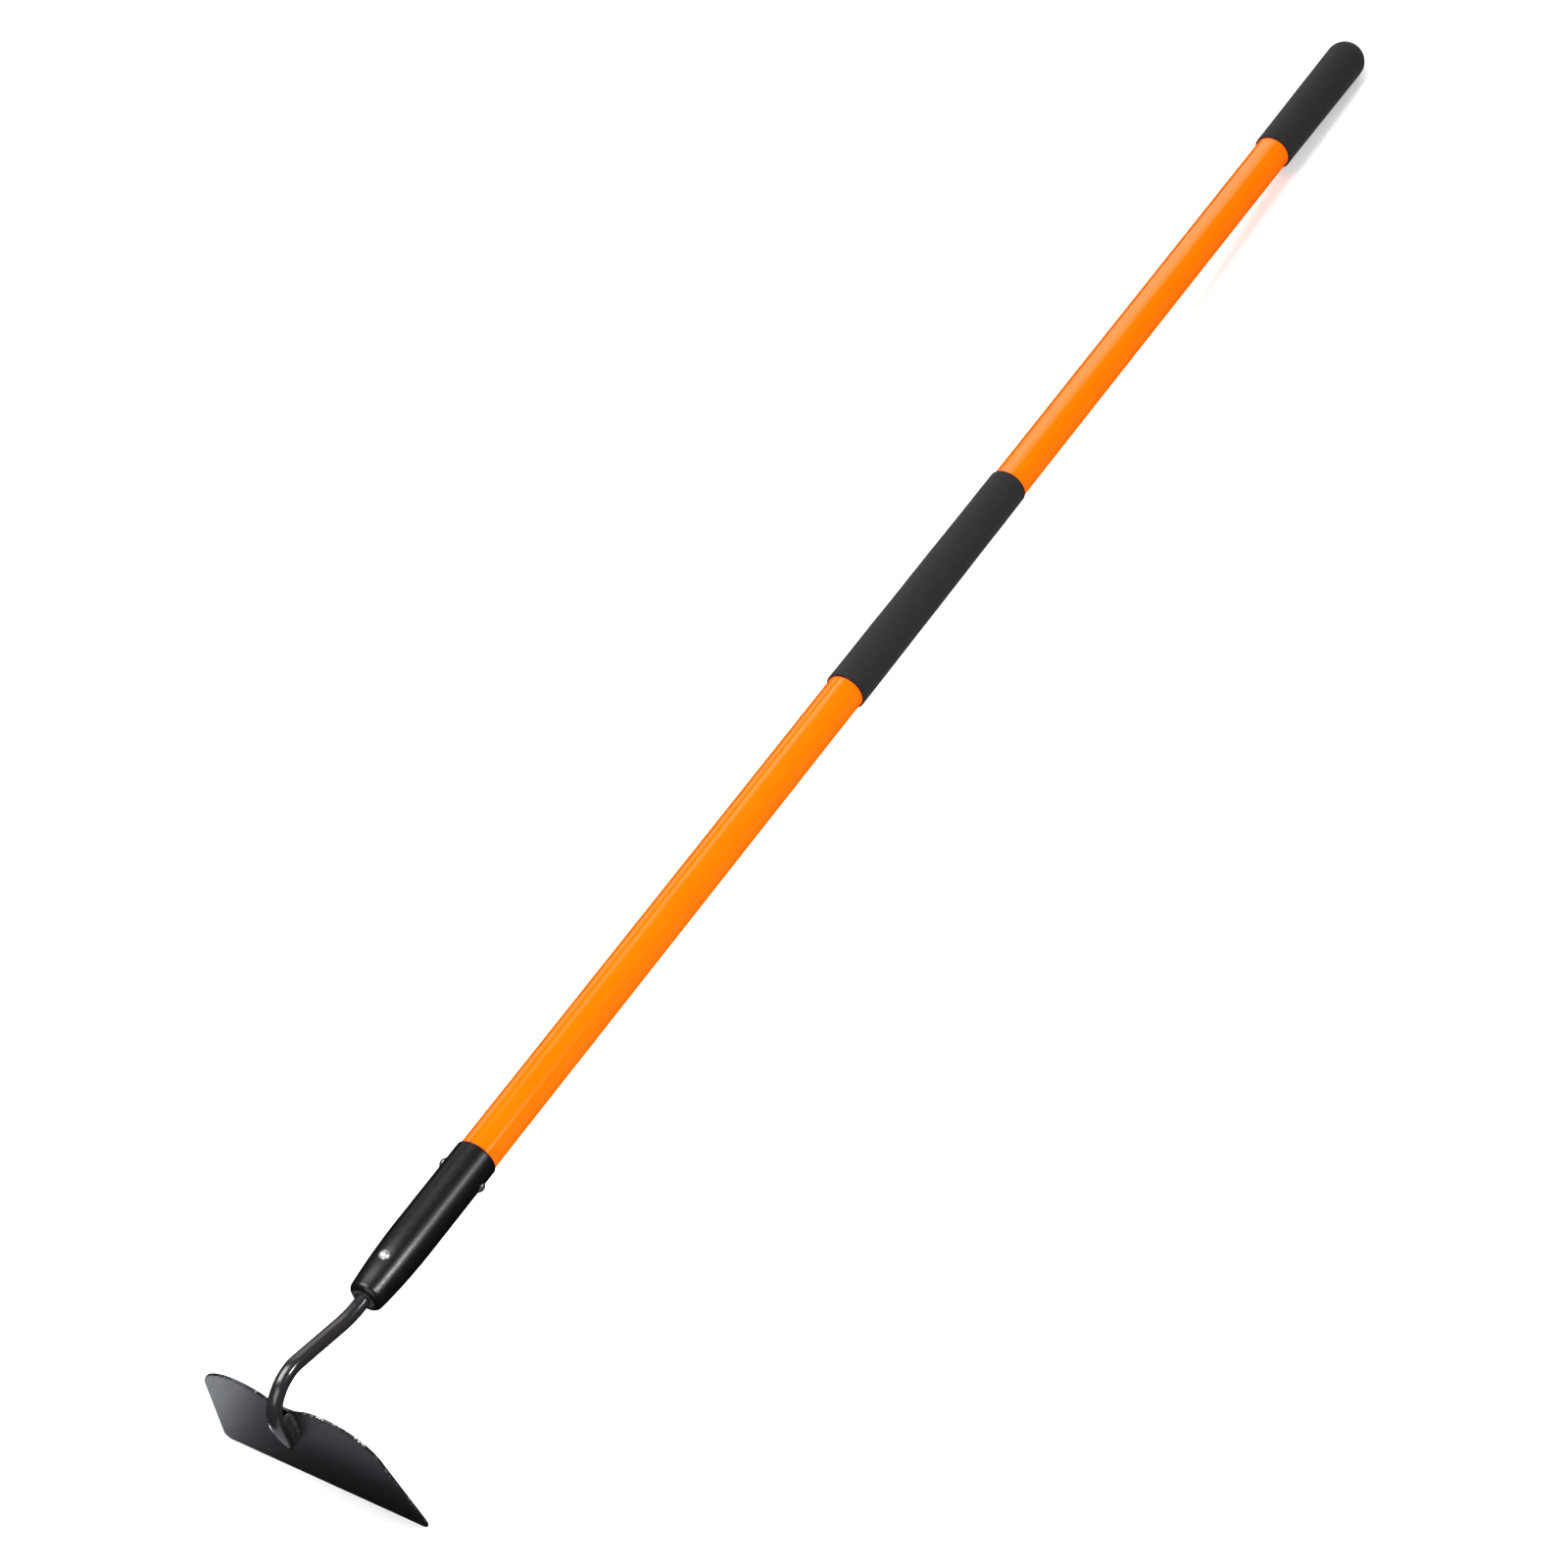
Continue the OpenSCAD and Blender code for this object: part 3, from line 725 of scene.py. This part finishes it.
def ferrule_profile():
    """The ferrule's section: round its mouth, down the outside, in round the nose and back up the bore."""
    lip, roll = 0.45, 1.3
    nose_r = ferrule_radius(FERRULE_NOSE_AT)
    lip_r = nose_r - FERRULE_NOSE_R
    bore_r = BAR_D / 2 + 0.1
    bore_at = -FERRULE_LEN + 1.3 * roll
    profile = arc((FERRULE_D / 2 - lip, -lip), lip, 90, 0, 15)
    profile += [(ferrule_radius(at), -at) for at in spaced(lip, FERRULE_NOSE_AT, 2)[1:]]
    profile += arc((lip_r, -FERRULE_NOSE_AT), FERRULE_NOSE_R, 0, -90, 6)[1:]
    profile += arc((lip_r, -FERRULE_LEN + roll), roll, -90, -180, 15)[1:]
    profile += [(bore_r, bore_at), (bore_r, bore_at + FERRULE_WALL)]
    profile += [(lip_r, -FERRULE_LEN + roll + FERRULE_WALL)]
    profile += arc((lip_r, -FERRULE_NOSE_AT), FERRULE_NOSE_R - FERRULE_WALL, -45, 0, 15)
    profile += [(ferrule_radius(at) - FERRULE_WALL, -at) for at in spaced(FERRULE_NOSE_AT, lip, 6)[1:]]
    profile += [(FERRULE_D / 2 - FERRULE_WALL, 0)]
    return profile


def ferrule_dents(angle, at, radius):
    """How the ferrule's wall departs from its section: a crimped nose, and a dimple round the tang rivet."""
    crimp_len, dimple_depth, dimple_r = 4, 0.35, 5.5
    nose = max(0, -at - FERRULE_NOSE_AT + crimp_len) / (FERRULE_NOSE_R + crimp_len)
    crimp = 0.35 * nose * math.sin(5 * angle + 1.2) + 0.2 * nose * math.sin(3 * angle)
    pinch = 0.3 * nose * (1 - math.cos(2 * angle))
    away = math.hypot(at + TANG_RIVET_AT, radius * math.sin(angle))
    dimple = dimple_depth * math.exp(-(away / dimple_r) ** 2) if math.cos(angle) > 0 else 0
    return -pinch * 0.5 + crimp * 0.5 - dimple


def ferrule():
    """The steel socket, with a rolled mouth, a dimple round the tang rivet and a crimped nose."""
    black = (0.0045, 0.0043, 0.0047)
    paint = black_paint("ferrule_paint", smoothest=0.29, shine=0.45, colour=black, peel=0.10)
    made = turned(ferrule_profile(), closed=True, shift=ferrule_dents)
    finished("ferrule_shell", made, HANDLE, paint, "ferrule", 50)


def rivet(name, at, shank_d, seat, turn, material, node):
    """A rivet right through, with a dome at each end, a distance down the ferrule from its mouth.

    seat is how far its heads' rims are from the handle's axis. turn is its angle round the handle from
    upright.
    """
    head, skirt = RIVET_HEAD_D / 2, 1.0
    ball = (head ** 2 + RIVET_HEAD_H ** 2) / (2 * RIVET_HEAD_H)
    spread = math.degrees(math.asin(head / ball))
    dome = arc((0, seat + RIVET_HEAD_H - ball), ball, 90, 90 - spread, 6)
    dome[0] = (0, seat + RIVET_HEAD_H)
    half = dome + [(head, seat - skirt), (shank_d / 2, seat - skirt)]
    profile = half + [(r, -y) for r, y in reversed(half)]
    moved = Matrix.Translation((0, -at * MM, 0))
    turned_round = Matrix.Rotation(math.radians(turn), 4, "Y")
    upright = Matrix.Rotation(math.pi / 2, 4, "X")
    matrix = HANDLE @ moved @ turned_round @ upright
    finished(name, turned(profile), matrix, material, node, 50)


# --- Handle ---

def tube(name, start, end, diameter, material, node):
    """A straight tube with lightly broken edges."""
    outer = diameter / 2
    inner = outer - TUBE_WALL
    edge = 0.2
    profile = [(inner, start), (outer - edge, start), (outer, start + edge)]
    profile += [(outer, at) for at in spaced(start + edge, end - edge, 25)[1:]]
    profile += [(outer - edge, end), (inner, end)]
    finished(name, turned(profile, closed=True), HANDLE, material, node)


# --- Grips ---

def foam_unevenness(seed, bore):
    """A shift that makes a foam sleeve's skin slightly uneven, and a little thinner. Its bore stays true."""
    skin_from, unevenness = bore + 0.2, 0.12

    def shift(angle, at, radius):
        if radius <= skin_from:
            return 0
        spot = Vector((math.sin(angle) * 0.5, math.cos(angle) * 0.5, at * 0.03 + seed))
        return unevenness * noise.noise(spot) - unevenness / 2

    return shift


def rim(radius, at, start, end):
    """The rounded edge of a sleeve, with the middle of its rounding at a distance up the handle."""
    return arc((radius - GRIP_EDGE_R, at), GRIP_EDGE_R, start, end, 15)


def taper(low, high, start, end, step):
    """The straight outside of a sleeve, without its first point. step is a part of its length."""
    return [(low + (high - low) * t, start + (end - start) * t) for t in spaced(0, 1, step)[1:]]


def middle_grip(material):
    """A foam sleeve, open at both ends, over the joint of the two tubes."""
    low, high = MIDDLE_GRIP_LOW_D / 2, MIDDLE_GRIP_HIGH_D / 2
    bottom, top = MIDDLE_GRIP_AT, MIDDLE_GRIP_AT + MIDDLE_GRIP_LEN
    low_bore, high_bore = LOWER_TUBE_D / 2 + GAP, UPPER_TUBE_D / 2 + GAP
    profile = rim(low, bottom + GRIP_EDGE_R, -90, 0)
    profile += taper(low, high, bottom + GRIP_EDGE_R, top - GRIP_EDGE_R, 0.008)
    profile += rim(high, top - GRIP_EDGE_R, 0, 90)[1:]
    profile += [(high_bore, top), (high_bore, JOINT_AT), (low_bore, JOINT_AT), (low_bore, bottom)]
    made = turned(profile, closed=True, shift=foam_unevenness(2.0, low_bore))
    piece = finished("middle_foam_grip", made, HANDLE, material, "middle_grip", 60)


def end_grip(material):
    """A foam sleeve with a domed closed end."""
    low, high = END_GRIP_LOW_D / 2, END_GRIP_HIGH_D / 2
    bottom, dome_at = END_GRIP_AT, HOE_TIP_AT - high
    bore, bore_end = UPPER_TUBE_D / 2 + GAP, TUBE_END_AT + PLUG_HEAD_ROOM
    profile = [(0, bore_end), (bore, bore_end), (bore, bottom)]
    profile += rim(low, bottom + GRIP_EDGE_R, -90, 0)
    profile += taper(low, high, bottom + GRIP_EDGE_R, dome_at, 0.015)
    profile += arc((0, dome_at), high, 0, 90, 4)[1:-1] + [(0, HOE_TIP_AT)]
    made = turned(profile, shift=foam_unevenness(7.0, bore))
    piece = finished("end_foam_grip", made, HANDLE, material, "end_grip", 60)


# --- Materials of the hidden pieces ---

def paint_hidden():
    """Gives the pieces that keep their CAD meshes their own materials."""
    hidden = {"core_plug": core_wood, "joint_spigot": spigot_steel, "tube_end_plug": plug_plastic}
    for node, material in hidden.items():
        slots = frame["nodes"][node].data.materials
        slots.clear()
        slots.append(material())


# --- Stage, light and camera ---

WHITE = (1, 1, 1)
PAPER_SHADE = (0.90, 0.94, 1.0)   # the cool light that the blade mirrors from low down

# Each light's name, position, target, size, power and colour, in metres and watts.
LIGHTS = (
    # Broad light from above and in front.
    ("softbox_top", (-1.2, -0.6, 3.0), (0, -0.1, 0), (2.2, 3.0), 165, WHITE),
    ("softbox_front", (0.6, -2.8, 1.6), (0, -0.8, 0), (1.6, 2.4), 35, WHITE),
    # Long reflections on the left and the top of the handle, the ferrule and the bar.
    ("softbox_left_near", (-1.9, 1.20, 0.55), (0, 1.20, 0.55), (1.5, 0.9), 3.6, WHITE),
    ("softbox_left_far", (-1.9, 2.92, 1.50), (0, 2.92, 1.50), (1.95, 2.8), 22, WHITE),
    ("softbox_left_high", (-1.203, 2.21, 2.224), (0.456, 0.561, -0.015), (1.9, 1.2), 7.5, WHITE),
    ("softbox_far_high", (-0.3, 2.3, 2.05), (0, 0.4, 0.05), (0.8, 1.0), 2.3, WHITE),
    ("softbox_left_front", (-1.44, -0.80, 2.04), (0, -0.68, 0.12), (0.5, 0.36), 3.2, WHITE),
    # Narrow reflections on the right of the ferrule and its nose.
    ("strip_right", (1.87, 0.17, 1.27), (0, -0.5, 0.10), (0.94, 0.26), 18, WHITE),
    ("strip_nose", (1.85, 0.05, 1.48), (0, -0.6, 0.10), (0.6, 0.25), 21, WHITE),
    # What the left and the foot of the blade mirror. The first stands below the floor.
    ("card_below", (-0.347, -0.807, -0.4), (-0.10, -0.73, 0.0), (0.3, 0.054), 0.165, PAPER_SHADE),
    ("card_low", (0.035, -0.782, 0.003), (0.035, -0.782, 1.0), (0.06, 0.16), 0.020, PAPER_SHADE),
)


def floor(material):
    """A wide white floor that isn't seen in reflections and doesn't block the light that stands below it."""
    side = 12    # metres from the middle
    corners = [(-side, -side, 0), (side, -side, 0), (side, side, 0), (-side, side, 0)]
    mesh = bpy.data.meshes.new("floor")
    mesh.from_pydata(corners, [], [(0, 1, 2, 3)])
    mesh.materials.append(material)
    piece = bpy.data.objects.new("floor", mesh)
    bpy.context.scene.collection.objects.link(piece)
    piece.visible_glossy = False
    piece.visible_shadow = False


def softbox(name, position, target, size, power, colour):
    """A rectangular light that the camera doesn't see. It faces its target.

    Its size is given along the handle's direction over the floor, then across that.
    """
    light = bpy.data.lights.new(name, "AREA")
    light.shape = "RECTANGLE"
    light.size, light.size_y = size
    light.energy = power
    light.color = colour
    holder = bpy.data.objects.new(name, light)
    bpy.context.scene.collection.objects.link(holder)
    back = (Vector(position) - Vector(target)).normalized()
    along = (Vector((0, 1, 0)) - back * back.y).normalized()
    holder.matrix_world = place(Vector(position), along, back.cross(along))
    holder.visible_camera = False


def world(brightness):
    """An even light from all round that isn't seen in reflections."""
    made = bpy.data.worlds.new("studio")
    made.use_nodes = True
    made.node_tree.nodes["Background"].inputs["Color"].default_value = (1, 1, 1, 1)
    made.node_tree.nodes["Background"].inputs["Strength"].default_value = brightness
    made.cycles_visibility.glossy = False
    bpy.context.scene.world = made


def camera(aim, distance, azimuth, elevation, roll, lens):
    """A camera that looks at aim, from a distance in metres. Azimuth 0 looks along +Y."""
    az, el = math.radians(azimuth), math.radians(elevation)
    away = Vector((math.sin(az) * math.cos(el), -math.cos(az) * math.cos(el), math.sin(el)))
    data = bpy.data.cameras.new("camera")
    data.lens = lens
    data.sensor_width = 36
    data.clip_end = 100    # metres
    holder = bpy.data.objects.new("camera", data)
    bpy.context.scene.collection.objects.link(holder)
    facing = (-away).to_track_quat("-Z", "Y").to_matrix().to_4x4()
    turned_to = facing @ Matrix.Rotation(math.radians(roll), 4, "Z")
    turned_to.translation = Vector(aim) + away * distance
    holder.matrix_world = turned_to
    bpy.context.scene.camera = holder


def hoe():
    """Every piece of the hoe."""
    blade()
    gooseneck()
    weld = weld_paint()
    blade_weld("blade_weld_bead_left", -1, weld, "blade_weld_left")
    blade_weld("blade_weld_bead_right", 1, weld, "blade_weld_right")
    ferrule()
    ferrule_weld(weld)
    steel = rivet_steel()
    tang_seat = ferrule_radius(TANG_RIVET_AT) - RIVET_SINK
    handle_seat = FERRULE_D / 2 - RIVET_SINK
    rivet("tang_rivet_domed", TANG_RIVET_AT, TANG_RIVET_D, tang_seat, 0, steel, "tang_rivet")
    rivet(
        "handle_rivet_domed", HANDLE_RIVET_AT, HANDLE_RIVET_D, handle_seat, HANDLE_RIVET_TURN, steel,
        "handle_rivet",
    )
    orange = tube_paint()
    tube("lower_orange_tube", -LOWER_TUBE_SEAT, JOINT_AT, LOWER_TUBE_D, orange, "lower_tube")
    tube("upper_orange_tube", JOINT_AT + GAP, TUBE_END_AT, UPPER_TUBE_D, orange, "upper_tube")
    foam = grip_foam()
    middle_grip(foam)
    end_grip(foam)
    paint_hidden()


def main():
    """The whole scene: the photo's tones and camera, the hoe, and the studio round it."""
    scene = bpy.context.scene
    scene.view_settings.view_transform = "Standard"
    scene.view_settings.look = "Medium High Contrast"
    camera(
        aim=(-0.0034, -0.1277, 0.0503), distance=3.345, azimuth=39.89, elevation=48.14, roll=-12.08,
        lens=110.25,
    )
    hoe()
    floor(floor_paper())
    world(0.36)
    for light in LIGHTS:
        softbox(*light)


main()
